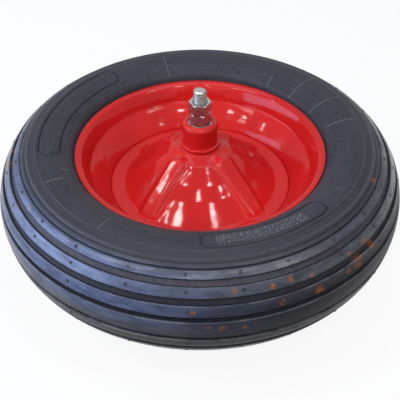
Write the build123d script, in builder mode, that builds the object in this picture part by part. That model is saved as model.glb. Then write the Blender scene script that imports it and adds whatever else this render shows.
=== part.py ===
from build123d import *
import os
from math import atan2, cos, degrees, hypot, pi, radians, sin, tan

os.makedirs("parts", exist_ok=True)

# The wheel's axle runs along Z and the origin is the wheel's centre.
# A profile is drawn with its distance from the axle first and its height second.
# A width is measured away from the axle and a rise is measured along it.

# Rim barrel, rolled from sheet: the open side of its section from the well to the lip
rim_sheet = 1.6
well_radius = 84.4
well_height = 6.2
step_width = 7.2
step_rise = 9.4
seat_width = 10.8
seat_rise = 10.2
flange_width = 7.0
flange_rise = 16.0
lip_width = 5.6
lip_bend = 6.0
seat_bend = 6.0
step_bend = 5.0
well_bend = 2.5
lip_edge_share = 0.45

# Tyre: half an ellipse above the widest point of the side wall and half an ellipse below it
widest_rise = 26.6
crown_height = 45.4
side_foot_drop = 6.2
tyre_bulge = 12.6
tread_thickness = 9.0
side_thickness = 5.0
bead_radius = 6.5
bead_squash = 1.3
bead_rise = 3.7
lip_shoulder_bend = 2.5

# Tread grooves: place in degrees round the section from the crown, width across and depth
tread_grooves = ((11.6, 5.0, 3.0), (29.0, 6.2, 3.0), (46.4, 6.2, 2.6), (59.6, 2.0, 1.2))
groove_wall_angle = 76.0

# Thin ridges round the side wall: place in degrees from the crown and radius of the bead
side_ridges = ((69.4, 1.1), (79.8, 0.8))

# Pressed disc: a flat ledge, a cone and a neck round the hub
disc_sheet = 1.6
disc_skirt_gap = 0.4
ledge_proud = 0.4
ledge_width = 13.4
ledge_fall = 1.8
cone_rise = 37.8
shoulder_width = 10.5
shoulder_rise = 4.4
neck_height = 3.4
skirt_bend = 2.2
foot_bend = 3.0
top_bend = 8.0
neck_bend = 2.2

# Ribs pressed into the disc
rib_count = 4
rib_start_angle = 47.0
rib_width = 18.0
rib_rise = 3.0
rib_tip_width = 7.5
rib_overrun = 8.0
rib_draft = 28.0
rib_edge_bend = 1.8
rib_depth = 6.0

# Ball bearings, twelve by twenty-eight by eight
axle_radius = 6.0
close_fit = 0.02
inner_race_wall = 2.48
race_gap = 3.2
outer_race_wall = 2.3
ball_radius = 2.38
ball_count = 8
ball_clearance = 0.05
cage_thickness = 1.4
cage_rim = 0.47
cage_side_gap = 0.2
shield_thickness = 0.4
shield_inset = 0.5
shield_clearance = 0.15

# Hub tube, its rolled ends and the welds that hold the discs
hub_wall = 1.9
hub_half_length = 73.7
bearing_shoulder = 1.4
hub_lip_width = 3.1
hub_lip_thickness = 1.5
hub_end_bend = 4.0
hub_weld_size = 2.3

# Axle, spacer tube, washers and nuts
thread_clearance = 0.17
bar_past_nuts = 0.5
free_thread_length = 11.5
axle_end_chamfer = 1.2
spacer_wall = 1.9
washer_wall = 2.38
nut_sides = 6
nut_across_flats = 18.0
nut_height = 10.5
nut_face_margin = 0.6
nut_face_angle = 30.0
inner_nut_turn = 46.0
outer_nut_turn = -1.0

# Inner tube
tube_wall = 2.2
tube_clearance = 0.3
tube_foot_reach = 15.5
tube_foot_half_width = 16.0

# Valve, square to the slope of the rim barrel on the lower side
valve_angle = 90.0
valve_stem_radius = 4.0
valve_hole_clearance = 0.25
valve_length = 24.0
valve_root = 6.0
valve_seat_gap = 0.3
valve_nut_across_flats = 12.0
valve_nut_height = 3.0
valve_core_radius = 2.5
valve_core_length = 16.0
valve_core_inset = 1.5
valve_cap_wall = 0.9
valve_cap_top = 1.5
valve_cap_gap = 1.0
valve_cap_grip = 7.5

# Places on the rim barrel that follow from those above
step_radius = well_radius + step_width
step_height = well_height + step_rise
seat_radius = step_radius + seat_width
seat_height = step_height + seat_rise
flange_radius = seat_radius + flange_width
lip_radius = flange_radius + lip_width
lip_height = seat_height + flange_rise

# Places on the tyre and its tube
widest_radius = lip_radius + widest_rise
side_drop = widest_radius - seat_radius + side_foot_drop
tyre_half_width = lip_height + tyre_bulge
bead_middle = seat_radius + rim_sheet + bead_radius - bead_squash
bead_height = seat_height + bead_rise

# Places on the bearings, the hub and the axle
shaft_hole_radius = axle_radius + close_fit
inner_race_radius = shaft_hole_radius + inner_race_wall
outer_race_inner_radius = inner_race_radius + race_gap
bearing_outer_radius = outer_race_inner_radius + outer_race_wall
pitch_radius = inner_race_radius + race_gap / 2
pocket_radius = ball_radius + ball_clearance
cage_width = 2 * (pocket_radius + cage_rim)
bearing_width = cage_width + 2 * (cage_side_gap + shield_thickness + shield_inset)
first_ball_angle = 180 / ball_count
hub_radius = bearing_outer_radius + hub_wall
hub_bore_radius = bearing_outer_radius - bearing_shoulder
hub_mouth_radius = bearing_outer_radius - hub_lip_width
bearing_top = hub_half_length - hub_lip_thickness
bearing_bottom = bearing_top - bearing_width
bearing_middle = bearing_top - bearing_width / 2
thread_radius = axle_radius - thread_clearance
nuts_top = hub_half_length + 2 * nut_height
thread_foot = nuts_top + bar_past_nuts
axle_half_length = thread_foot + free_thread_length

# Places on the disc
skirt_radius = well_radius
ledge_height = well_height + ledge_proud
cone_foot_radius = skirt_radius - ledge_width
cone_foot_height = ledge_height - ledge_fall
neck_radius = hub_radius + disc_sheet
cone_top_radius = neck_radius + shoulder_width
cone_top_height = cone_foot_height + cone_rise
neck_foot_height = cone_top_height + shoulder_rise
neck_top = neck_foot_height + neck_height
rib_tip_radius = neck_radius + rib_tip_width
rib_lean = degrees(atan2(cone_rise, cone_foot_radius - cone_top_radius))


def save(piece, name):
    """Label a finished piece and write it under its own name."""
    piece.part.label = name
    export_step(piece.part, f"parts/{name}.step")


def save_pair(piece, name):
    """Write a piece of the upper side, and its mirror image for the lower side."""
    save(piece, f"{name}_upper")
    with BuildPart() as twin:
        mirror(piece.part, about=Plane.XY)
    save(twin, f"{name}_lower")


# Section of the space inside the rim barrel, on the side of the axle
rim_points = [
    (lip_radius, lip_height),
    (flange_radius, lip_height),
    (seat_radius, seat_height),
    (step_radius, step_height),
    (well_radius, well_height),
]
rim_bends = [lip_bend, seat_bend, step_bend, well_bend]
lower_rim_points = [(radius, -height) for radius, height in reversed(rim_points)]
beyond_lip = 2 * lip_height
with BuildSketch(Plane.XZ) as rim_space:
    with BuildLine():
        barrel_line = FilletPolyline(*rim_points, *lower_rim_points, radius=rim_bends + rim_bends[::-1])
        Polyline(
            barrel_line @ 1,
            (lip_radius, -beyond_lip),
            (0, -beyond_lip),
            (0, beyond_lip),
            (lip_radius, beyond_lip),
            barrel_line @ 0,
        )
    make_face()

# The same space with the barrel's sheet added, which the tyre and its tube go round
with BuildSketch(Plane.XZ) as barrel_space:
    add(rim_space.sketch)
    offset(amount=rim_sheet, kind=Kind.INTERSECTION)

# Valve axis: square to the middle of the slope between the step and the well
slope_middle = ((step_radius + well_radius) / 2, (step_height + well_height) / 2)
slope_run = hypot(step_radius - well_radius, step_height - well_height)
valve_lean = ((step_height - well_height) / slope_run, (step_radius - well_radius) / slope_run)
valve_turn = radians(valve_angle)
valve_plane = Plane(
    origin=(slope_middle[0] * cos(valve_turn), slope_middle[0] * sin(valve_turn), -slope_middle[1]),
    x_dir=(-sin(valve_turn), cos(valve_turn), 0),
    z_dir=(-valve_lean[0] * cos(valve_turn), -valve_lean[0] * sin(valve_turn), -valve_lean[1]),
)

with BuildPart() as rim_barrel:
    with BuildSketch(Plane.XZ) as barrel_section:
        add(barrel_space.sketch)
        add(rim_space.sketch, mode=Mode.SUBTRACT)
        with Locations((lip_radius / 2, 0)):
            Rectangle(lip_radius, 2 * lip_height, mode=Mode.INTERSECT)
        fillet(barrel_section.vertices().group_by(Axis.X)[-1], radius=lip_edge_share * rim_sheet)
    revolve(axis=Axis.Z)
    with BuildSketch(valve_plane):
        Circle(valve_stem_radius + valve_hole_clearance)
    extrude(amount=2 * rim_sheet, both=True, mode=Mode.SUBTRACT)
save(rim_barrel, "rim_barrel")


def section_outline(above, below, half_width):
    """Section round the tyre's widest point, from its heights above and below that point."""
    with BuildSketch(Plane.XZ) as outline:
        with BuildLine():
            EllipticalCenterArc((widest_radius, 0), above, half_width, start_angle=-90, arc_size=180)
            EllipticalCenterArc((widest_radius, 0), below, half_width, start_angle=90, arc_size=180)
        make_face()
    return outline.sketch


def cavity_outline(inset):
    """Section of the space inside the tyre, drawn in by the inset."""
    return section_outline(
        crown_height - tread_thickness - inset,
        side_drop - side_thickness - inset,
        tyre_half_width - side_thickness - inset,
    )


def tread_place(turn):
    """Place on the crown at a turn from its middle, with the outward slope there in degrees."""
    along = radians(turn)
    place = (widest_radius + crown_height * cos(along), tyre_half_width * sin(along))
    lean = degrees(atan2(crown_height * sin(along), tyre_half_width * cos(along)))
    return place, lean


with BuildPart() as tyre:
    with BuildSketch(Plane.XZ) as tyre_section:
        add(section_outline(crown_height, side_drop, tyre_half_width))
        for ridge_turn, ridge_size in side_ridges:
            for side in (1, -1):
                with Locations(tread_place(side * ridge_turn)[0]):
                    Circle(ridge_size)
        add(cavity_outline(0), mode=Mode.SUBTRACT)
        for groove_turn, groove_width, groove_depth in tread_grooves:
            for side in (1, -1):
                groove_place, groove_lean = tread_place(side * groove_turn)
                with Locations(groove_place):
                    Trapezoid(
                        groove_width + 2 * groove_depth / tan(radians(groove_wall_angle)),
                        2 * groove_depth,
                        groove_wall_angle,
                        rotation=90 + groove_lean,
                        mode=Mode.SUBTRACT,
                    )
        with Locations((bead_middle, bead_height), (bead_middle, -bead_height)):
            Circle(bead_radius)
        with Locations((bead_middle / 2, 0)):
            Rectangle(bead_middle, 2 * (bead_height - bead_radius), mode=Mode.SUBTRACT)
        add(barrel_space.sketch, mode=Mode.SUBTRACT)
        inside, outside = lip_radius + rim_sheet - close_fit, lip_radius + rim_sheet + close_fit
        shoulders = tyre_section.vertices().filter_by_position(Axis.X, inside, outside).sort_by(Axis.Y)
        fillet([shoulders[0], shoulders[-1]], radius=lip_shoulder_bend)
    revolve(axis=Axis.Z)
save(tyre, "tyre")


def tube_outline(inset):
    """Section of the blown-up tube, drawn in from the tyre and the well by the inset."""
    with BuildSketch(Plane.XZ) as outline:
        add(cavity_outline(inset))
        with Locations((well_radius + rim_sheet + tube_foot_reach, 0)):
            Ellipse(tube_foot_reach - inset, tube_foot_half_width - inset)
        with Locations((bead_middle, bead_height), (bead_middle, -bead_height)):
            Circle(bead_radius + inset, mode=Mode.SUBTRACT)
    return outline.sketch


with BuildPart() as inner_tube:
    with BuildSketch(Plane.XZ):
        add(tube_outline(tube_clearance))
        add(tube_outline(tube_clearance + tube_wall), mode=Mode.SUBTRACT)
    revolve(axis=Axis.Z)
    with BuildSketch(valve_plane):
        Circle(valve_stem_radius)
    extrude(amount=-(rim_sheet + valve_root), mode=Mode.SUBTRACT)
save(inner_tube, "inner_tube")


def disc_outline(inset):
    """Section of the space under the disc's open face, drawn in by the inset."""
    with BuildSketch(Plane.XZ) as outline:
        with BuildLine():
            face_line = FilletPolyline(
                (skirt_radius, -ledge_height),
                (skirt_radius, ledge_height),
                (cone_foot_radius, cone_foot_height),
                (cone_top_radius, cone_top_height),
                (neck_radius, neck_foot_height),
                (neck_radius, neck_top + ledge_height),
                radius=[skirt_bend, foot_bend, top_bend, neck_bend],
            )
            Polyline(face_line @ 1, (0, neck_top + ledge_height), (0, -ledge_height), face_line @ 0)
        make_face()
        if inset:
            offset(amount=-inset, kind=Kind.INTERSECTION)
    return outline.sketch


def rib_form(inset):
    """Solid of one rib that stands out of the disc, drawn in by the inset."""
    foot = Vector(cone_foot_radius, 0, cone_foot_height)
    slope = Vector(cone_top_radius - cone_foot_radius, 0, cone_top_height - cone_foot_height).normalized()
    outward = Vector(slope.Z, 0, -slope.X)
    length = (cone_foot_radius - rib_tip_radius) / cos(radians(rib_lean)) + rib_overrun
    middle = foot + slope * (length / 2 - rib_overrun) - outward * rib_depth
    spread = rib_depth * tan(radians(rib_draft)) - inset / cos(radians(rib_draft))
    with BuildPart() as form:
        with BuildSketch(Plane(origin=middle, x_dir=slope, z_dir=outward)):
            SlotOverall(length + 2 * spread, rib_width + 2 * spread)
        extrude(amount=rib_depth + rib_rise - inset, taper=rib_draft)
        top = form.faces().sort_by(Axis((0, 0, 0), outward))[-1]
        fillet(top.edges(), radius=rib_edge_bend)
    return form.part


def disc_form(inset):
    """Solid of all that lies under the disc's open face, ribs too, drawn in by the inset."""
    with BuildPart() as form:
        with BuildSketch(Plane.XZ):
            add(disc_outline(inset))
        revolve(axis=Axis.Z)
        with PolarLocations(0, rib_count, start_angle=rib_start_angle):
            add(rib_form(inset))
    return form.part


with BuildPart() as disc:
    add(disc_form(0))
    add(disc_form(disc_sheet), mode=Mode.SUBTRACT)
    with BuildSketch(Plane.XY.offset(disc_skirt_gap)):
        Circle(skirt_radius)
        Circle(hub_radius, mode=Mode.SUBTRACT)
    extrude(amount=neck_top - disc_skirt_gap, mode=Mode.INTERSECT)
save_pair(disc, "disc")

with BuildPart() as hub_weld:
    with BuildSketch(Plane.XZ):
        with Locations((hub_radius, neck_top)):
            Circle(hub_weld_size)
            Rectangle(hub_weld_size, hub_weld_size, align=(Align.MIN, Align.MIN), mode=Mode.INTERSECT)
    revolve(axis=Axis.Z)
save_pair(hub_weld, "hub_weld")

with BuildPart() as hub_tube:
    with BuildSketch(Plane.XZ) as hub_section:
        Rectangle(hub_radius, 2 * hub_half_length, align=(Align.MIN, Align.CENTER))
        fillet(hub_section.vertices().group_by(Axis.X)[-1], radius=hub_end_bend)
        for cut_radius, cut_half_length in (
            (hub_mouth_radius, hub_half_length),
            (bearing_outer_radius, bearing_top),
        ):
            Rectangle(cut_radius, 2 * cut_half_length, align=(Align.MIN, Align.CENTER), mode=Mode.SUBTRACT)
        Rectangle(hub_radius, 2 * bearing_bottom, align=(Align.MIN, Align.CENTER))
        Rectangle(hub_bore_radius, 2 * bearing_bottom, align=(Align.MIN, Align.CENTER), mode=Mode.SUBTRACT)
    revolve(axis=Axis.Z)
save(hub_tube, "hub_tube")


def ring(inner_radius, outer_radius, bottom, top):
    """Plain ring round the axle between two heights."""
    with BuildPart() as piece:
        with BuildSketch(Plane.XY.offset(bottom)):
            Circle(outer_radius)
            Circle(inner_radius, mode=Mode.SUBTRACT)
        extrude(amount=top - bottom)
    return piece


def bearing_race(inner_radius, outer_radius):
    """Race of the upper bearing, with the track that the balls run in."""
    with BuildPart() as piece:
        with BuildSketch(Plane.XZ):
            with Locations((inner_radius, bearing_middle)):
                Rectangle(outer_radius - inner_radius, bearing_width, align=(Align.MIN, Align.CENTER))
            with Locations((pitch_radius, bearing_middle)):
                Circle(pocket_radius, mode=Mode.SUBTRACT)
        revolve(axis=Axis.Z)
    return piece


save_pair(bearing_race(shaft_hole_radius, inner_race_radius), "inner_race")
save_pair(bearing_race(outer_race_inner_radius, bearing_outer_radius), "outer_race")

with BuildPart(Plane.XY.offset(bearing_middle)) as balls:
    with PolarLocations(pitch_radius, ball_count, start_angle=first_ball_angle):
        Sphere(ball_radius)
save_pair(balls, "bearing_balls")

with BuildPart(Plane.XY.offset(bearing_middle)) as ball_cage:
    Cylinder(pitch_radius + cage_thickness / 2, cage_width)
    Cylinder(pitch_radius - cage_thickness / 2, cage_width, mode=Mode.SUBTRACT)
    with PolarLocations(pitch_radius, ball_count, start_angle=first_ball_angle):
        Cylinder(pocket_radius, 2 * cage_thickness, rotation=(0, 90, 0), mode=Mode.SUBTRACT)
save_pair(ball_cage, "ball_cage")

with BuildPart(Plane.XY.offset(bearing_middle)) as shields:
    shield_offset = (bearing_width - shield_thickness) / 2 - shield_inset
    with Locations((0, 0, shield_offset), (0, 0, -shield_offset)):
        Cylinder(outer_race_inner_radius, shield_thickness)
        Cylinder(inner_race_radius + shield_clearance, shield_thickness, mode=Mode.SUBTRACT)
save_pair(shields, "bearing_shields")

with BuildPart() as axle:
    Cylinder(thread_radius, 2 * axle_half_length)
    chamfer(axle.edges().filter_by(GeomType.CIRCLE), length=axle_end_chamfer)
    Cylinder(axle_radius, 2 * thread_foot)
save(axle, "axle")

spacer_tube = ring(shaft_hole_radius, shaft_hole_radius + spacer_wall, -bearing_bottom, bearing_bottom)
save(spacer_tube, "spacer_tube")
race_washer = ring(shaft_hole_radius, shaft_hole_radius + washer_wall, bearing_top, hub_half_length)
save_pair(race_washer, "race_washer")


def hex_nut(plane, across_flats, height, hole_radius, turn):
    """Hexagon nut with its corners turned off at both faces, standing on a plane."""
    with BuildPart(plane) as nut:
        with BuildSketch(plane):
            RegularPolygon(across_flats / 2, nut_sides, major_radius=False, rotation=turn)
            Circle(hole_radius, mode=Mode.SUBTRACT)
        extrude(amount=height)
        corner_radius = across_flats / 2 / cos(pi / nut_sides)
        face_radius = across_flats / 2 + nut_face_margin
        corner_drop = (corner_radius - face_radius) * tan(radians(nut_face_angle))
        with BuildSketch(Plane(plane.origin, x_dir=plane.x_dir, z_dir=-plane.y_dir)):
            with BuildLine():
                Polyline(
                    (0, 0),
                    (face_radius, 0),
                    (corner_radius, corner_drop),
                    (corner_radius, height - corner_drop),
                    (face_radius, height),
                    (0, height),
                    close=True,
                )
            make_face()
        revolve(axis=Axis(plane.origin, plane.z_dir), mode=Mode.INTERSECT)
    return nut


def axle_nut(base, turn):
    """Nut on the axle, standing at a height on the upper side."""
    plane = Plane.XY.offset(base)
    return hex_nut(plane, nut_across_flats, nut_height, shaft_hole_radius, turn)


save_pair(axle_nut(hub_half_length, inner_nut_turn), "inner_nut")
save_pair(axle_nut(hub_half_length + nut_height, outer_nut_turn), "outer_nut")

with BuildPart(valve_plane) as valve_stem:
    with BuildSketch(valve_plane.offset(-rim_sheet - valve_root)):
        Circle(valve_stem_radius)
        Circle(valve_core_radius + close_fit, mode=Mode.SUBTRACT)
    extrude(amount=rim_sheet + valve_root + valve_length)
save(valve_stem, "valve_stem")

with BuildPart() as valve_core:
    with BuildSketch(valve_plane.offset(valve_length - valve_core_inset)):
        Circle(valve_core_radius)
    extrude(amount=-valve_core_length)
save(valve_core, "valve_core")

valve_nut = hex_nut(
    valve_plane.offset(valve_seat_gap),
    valve_nut_across_flats,
    valve_nut_height,
    valve_stem_radius + close_fit,
    0,
)
save(valve_nut, "valve_nut")

with BuildPart() as valve_cap:
    with BuildSketch(valve_plane.offset(valve_length - valve_cap_grip)):
        Circle(valve_stem_radius + valve_cap_wall)
    extrude(amount=valve_cap_grip + valve_cap_gap + valve_cap_top)
    with BuildSketch(valve_plane.offset(valve_length - valve_cap_grip)):
        Circle(valve_stem_radius + close_fit)
    extrude(amount=valve_cap_grip + valve_cap_gap, mode=Mode.SUBTRACT)
save(valve_cap, "valve_cap")
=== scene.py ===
"""Wheelbarrow wheel: ribbed tyre, red pressed rim, hub, bearings and threaded axle, round its frame."""

from math import asin, atan2, cos, degrees, hypot, pi, radians, sin, tan

import bpy
import numpy as np
from bpy.props import FloatProperty, FloatVectorProperty, PointerProperty
from mathutils import Matrix, Vector


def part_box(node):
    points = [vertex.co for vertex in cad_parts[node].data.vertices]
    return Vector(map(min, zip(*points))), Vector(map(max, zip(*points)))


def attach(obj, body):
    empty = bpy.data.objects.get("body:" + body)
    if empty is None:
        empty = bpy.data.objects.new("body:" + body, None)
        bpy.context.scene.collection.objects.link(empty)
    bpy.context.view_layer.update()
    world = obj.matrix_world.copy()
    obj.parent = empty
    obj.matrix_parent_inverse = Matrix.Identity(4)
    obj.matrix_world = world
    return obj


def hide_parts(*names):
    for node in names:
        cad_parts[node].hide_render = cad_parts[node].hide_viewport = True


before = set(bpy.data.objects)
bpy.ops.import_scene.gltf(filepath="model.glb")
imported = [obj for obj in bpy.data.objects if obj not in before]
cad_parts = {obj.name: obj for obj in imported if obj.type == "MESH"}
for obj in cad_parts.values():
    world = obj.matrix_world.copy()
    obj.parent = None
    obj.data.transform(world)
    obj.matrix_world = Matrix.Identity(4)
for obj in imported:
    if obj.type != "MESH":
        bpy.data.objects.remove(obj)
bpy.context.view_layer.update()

bl_info = {
    "name": "Wheelbarrow wheel",
    "version": (1, 0, 0),
    "blender": (4, 5, 0),
    "location": "3D View > Sidebar > Wheel",
    "description": "Builds the tyre, rim, hub and axle of a wheelbarrow wheel round its frame",
    "category": "Add Mesh",
}

mm = 0.001
both_sides = ((1, "upper"), (-1, "lower"))
tyre_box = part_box("tyre")
axle_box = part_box("axle")
lip_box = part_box("rim_barrel")
hub_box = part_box("hub_tube")
disc_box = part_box("disc_upper")
inner_nut_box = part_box("inner_nut_upper")
outer_nut_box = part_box("outer_nut_upper")


def length(name, description, default):
    """Property for a size in metres."""
    return FloatProperty(name=name, description=description, default=default, unit="LENGTH", precision=4)


def turn(name, description, default):
    """Property for an angle that is written in degrees here."""
    return FloatProperty(name=name, description=description, default=radians(default), unit="ROTATION")


def colour(name, description, default):
    """Property for a colour."""
    return FloatVectorProperty(
        name=name, description=description, default=default, subtype="COLOR", min=0, max=1
    )


def power(name, description, default):
    """Property for a lamp's power in watts."""
    return FloatProperty(name=name, description=description, default=default, unit="POWER")


class WheelTyreSizes(bpy.types.PropertyGroup):
    """Sizes and colours of the tyre."""

    radius: length("Radius", "From the axle to the crown of the tread", tyre_box[1].x)
    half_width: length("Half width", "From the middle of the tyre to its widest point", tyre_box[1].z)
    widest_radius: length("Widest radius", "Distance from the axle to the widest point", 141.6 * mm)
    tread_thickness: length("Tread thickness", "Rubber under the crown", 9 * mm)
    side_thickness: length("Side thickness", "Rubber in the side wall", 5 * mm)
    outline_depth: length("Outline depth", "Depth of the line moulded round a bare panel", 1.3 * mm)
    outline_width: length("Outline width", "Half width of the line moulded round a bare panel", 0.75 * mm)
    panel_depth: length("Panel depth", "How far a bare panel lies below the side wall", 0.3 * mm)
    flash_height: length("Flash height", "Height of the fine lines across the side wall", 0.45 * mm)
    vent_radius: length("Vent radius", "Radius of the trimmed vent marks", 1.2 * mm)
    rubber: colour("Rubber", "Colour of the tread's clean rubber", (0.014, 0.014, 0.020))
    side_rubber: colour("Side rubber", "Colour of the side wall's rubber", (0.038, 0.037, 0.046))
    # Partly painted sheen: the scuffed ribs' colour is tinted bluish and pale like the window's reflection on
    # them.
    wear_and_sheen_rubber: colour("Worn rubber", "Colour of scuffed rubber on the ribs", (0.046, 0.051, 0.070))
    # Painted sheen: the window light's bluish reflection painted on the left front of the tread.
    painted_sheen: colour("Bloom", "Colour of the wax bloom on one side of the tread", (0.085, 0.115, 0.215))
    # Painted shade: this dark colour goes on groove walls, panel outlines, vent marks, side pips and a ring
    # beside the outer ridge.
    painted_shade_rubber: colour("Deep rubber", "Colour of the rubber in the grooves", (0.010, 0.011, 0.017))
    # Also used for the painted highlights along the upper rib edges.
    flash_and_highlight: colour("Flash", "Colour of the fine lines and of worn edges", (0.16, 0.16, 0.175))
    # Also used for the painted highlights on the side wall's ridge tops.
    dust_and_highlight: colour("Dust", "Colour of the dust in the side wall and the grooves", (0.070, 0.066, 0.080))
    rust: colour("Rust stain", "Colour of the rust stains", (0.28, 0.090, 0.034))


class WheelRimSizes(bpy.types.PropertyGroup):
    """Sizes and colours of the rim, its discs and the hub."""

    sheet: length("Sheet", "Thickness of the rim's sheet", 1.6 * mm)
    lip_radius: length("Lip radius", "Radius of the rim's outer edge", lip_box[1].x)
    lip_height: length("Lip height", "Height of the rim's edge above the middle", lip_box[1].z)
    band_bulge: length("Band bulge", "How far the barrel's slopes bulge out of a straight line", 0.35 * mm)
    cone_foot_radius: length("Cone foot", "Radius where the cone leaves the ledge", 71.0 * mm)
    cone_foot_height: length("Cone foot height", "Height where the cone leaves the ledge", 4.8 * mm)
    cone_top_radius: length("Cone top", "Radius where the cone bends over", 28.0 * mm)
    cone_top_height: length("Cone top height", "Height where the cone bends over", 42.6 * mm)
    rib_width: length("Rib width", "Width of a pressed rib", 18.0 * mm)
    rib_rise: length("Rib rise", "Height of a pressed rib above the cone", 3.0 * mm)
    paint: colour("Paint", "Colour of the red paint", (0.62, 0.013, 0.012))
    deep_paint: colour("Deep paint", "Colour of the paint where it lies thick", (0.45, 0.010, 0.012))


class WheelAxleSizes(bpy.types.PropertyGroup):
    """Sizes and colours of the axle, its thread and its nuts."""

    thread_pitch: length("Thread pitch", "Distance from one turn of the thread to the next", 1.75 * mm)
    thread_depth: length("Thread depth", "Depth of the thread", 1.05 * mm)
    tooth_radius: length("Tooth", "Radius of the rounded tooth that is wound round the bar", 0.72 * mm)
    nut_flats: length("Nut across flats", "Distance across the flats of a nut", 18.0 * mm)
    face_margin: length("Face margin", "How far the turned face reaches past the flats", 0.6 * mm)
    zinc: colour("Zinc", "Colour of the zinc plating", (0.50, 0.48, 0.465))
    grime: colour("Grime", "Colour of the dirt in corners and thread", (0.07, 0.05, 0.045))


class WheelStageSettings(bpy.types.PropertyGroup):
    """Camera, light and floor."""

    camera_distance: length("Camera distance", "Distance from the camera to the wheel's centre", 0.9296)
    camera_elevation: turn("Camera elevation", "Height of the camera seen from the wheel", 39.1)
    camera_drop: turn("Camera drop", "How far the view is tipped down past the wheel's centre", 0.92)
    focal_length: FloatProperty(name="Focal length", description="Lens in millimetres", default=88.1, min=1)
    near_lamps: power("Near lamps", "Power of each of the two lamps on the left and right", 3.0)
    front_lamps: power("Front lamps", "Power of each of the lamps in the middle and far right", 2.2)
    left_lamps: power("Left lamps", "Power of each of the two small lamps on the left", 1.6)
    window_power: power("Window", "Power of the wide light on the left", 24.0)
    ceiling_power: power("Ceiling", "Power of the long light overhead", 7.5)
    back_power: power("Back", "Power of the light behind the wheel", 6.0)
    front_power: power("Front", "Power of the narrow light in front", 3.0)
    sky_light: FloatProperty(name="Sky", description="Strength of the light from all sides", default=0.11)
    floor_white: colour("Floor", "Colour of the floor as it is seen", (0.9, 0.9, 0.9))
    floor_grey: colour("Floor light", "Colour of the light that the floor throws back", (0.35, 0.35, 0.35))


# Places round the tyre's section are turns in degrees from the crown towards the upper side.
# Places round the wheel are turns in degrees from the +X axis.

# The tread's grooves, the same on both sides of the crown: middle, width and depth.
TREAD_GROOVES = (
    (11.6, 5.0 * mm, 3.0 * mm),
    (29.0, 6.2 * mm, 3.0 * mm),
    (46.4, 6.2 * mm, 2.6 * mm),
    (59.6, 2.0 * mm, 1.2 * mm),
)
GROOVE_WALL_RUN = 0.75 * mm
TREAD_UNEVENNESS = 0.08 * mm
# The side walls' ridges: middle and height.
SIDE_RIDGES = ((69.4, 1.1 * mm), (79.8, 0.8 * mm))
# Upper rib edges that get a painted highlight, and the side of the tread that gets a painted bluish sheen.
PAINTED_HIGHLIGHT_EDGES = (25.0, 8.4, -14.8)
PAINTED_SHEEN_TURN = 222.0
# Fine rings in the upper side wall: radius, half width and the name of the colour.
# The two pale rings are painted highlights on the ridges' tops, the dark one a painted shadow beside the
# outer ridge.
SIDE_RINGS = (
    (157.6 * mm, 1.3 * mm, "dust_and_highlight"), (160.2 * mm, 0.5 * mm, "painted_shade_rubber"), (149.6 * mm, 0.4 * mm, "dust_and_highlight"),
)
# Bare panels of the side wall: middle and half of their span round the wheel.
PANELS = ((158.8, 31.2), (294.3, 24.2))
PANEL_TOP = 83.4
PANEL_FOOT = 108.6
PANEL_CORNER = 9.0 * mm
PANEL_EDGE = 1.2 * mm
# Fine moulding lines across the side wall: place round the wheel, start and end in the section.
FLASH_LINES = (
    (12, 76, 117), (27, 76, 121), (42, 76, 121), (56, 105, 121), (199.5, 104, 121), (205.5, 82, 103),
    (236, 80, 104), (105, 84, 118),
)
FLASH_WIDTH = 0.42 * mm
# Vent marks: places round the wheel, the even step in which others come before them, their rows in the
# section and how far each row is set on round the wheel.
VENT_TURNS = (218, 233, 250, 266, 281, 295, 311, 326, 341, 354)
VENT_STEP = 15.2
VENTS_BEFORE = 13
SHOULDER_TURNS = (54.5, 38.0, 20.2)
VENT_ROW_STAGGER = 0.4
RIDGE_VENT_TURN = 66.0
RIDGE_VENT_STAGGER = 1.0
# Half sections of a vent mark and of a stipple pip, in parts of the mark's radius: out and up.
VENT_SHAPE = (
    (0.0225, -0.3), (1.25, -0.3), (1.15, 0.1), (1.0, 0.26), (0.8, 0.1), (0.7, -0.1), (0.495, -0.1),
    (0.45, 0.3), (0.0225, 0.34),
)
PIP_SHAPE = ((0.04, -0.3), (1.0, -0.3), (0.8, 0.25), (0.04, 0.6))
# Pips of the side wall: place round the wheel and in the section.
SIDE_PIPS = (
    (188, 99), (198.5, 100), (210, 101), (228, 99), (242.5, 102), (250.5, 98), (258, 101), (331, 97),
    (346, 99), (0, 96), (72, 112), (115, 117), (18, 98), (33, 100), (48, 101),
)
# Stipple of the second panel: rows, steps between pips, margins and how far a pip strays, in degrees.
STIPPLE_ROWS = 9
STIPPLE_ROW_STEP = 1.75
STIPPLE_STEP = 0.5
STIPPLE_START = 5.5
STIPPLE_END = 9.0
STIPPLE_STRAY_ACROSS = 0.8
STIPPLE_STRAY_ALONG = 0.25
STIPPLE_PIP = 0.42 * mm
# Rust stains: place round the wheel, height in millimetres and size in millimetres.
STAINS = (
    (300.4, 30.5, 2.6), (320.2, 31.2, 3.2), (312.1, 18.8, 2.4), (302.0, 15.1, 4.2), (291.1, 17.3, 2.4),
    (268.2, 17.5, 2.0), (272.2, 2.9, 2.2), (275.5, 2.2, 2.6), (281.1, 0.7, 1.6), (279.0, 34.0, 2.2),
    (289.1, 32.0, 2.0), (294.4, 33.5, 2.4), (313.6, 31.0, 2.0), (184.8, 35.0, 4.0), (178.5, 35.5, 3.0),
    (205.2, 36.0, 1.8), (210.2, 43.5, 1.8), (340.3, 49.4, 2.6), (316.0, 20.0, 5.0), (323.0, 25.0, 4.0),
)

# The barrel: width and bend of its lip, then the radius, height and bend of each corner down to the well.
LIP_WIDTH = 5.6 * mm
LIP_BEND = 6.0 * mm
BARREL_CORNERS = (
    (102.4 * mm, 25.8 * mm, 6.0 * mm), (91.6 * mm, 15.6 * mm, 5.0 * mm), (84.4 * mm, 6.2 * mm, 2.5 * mm),
)
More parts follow.
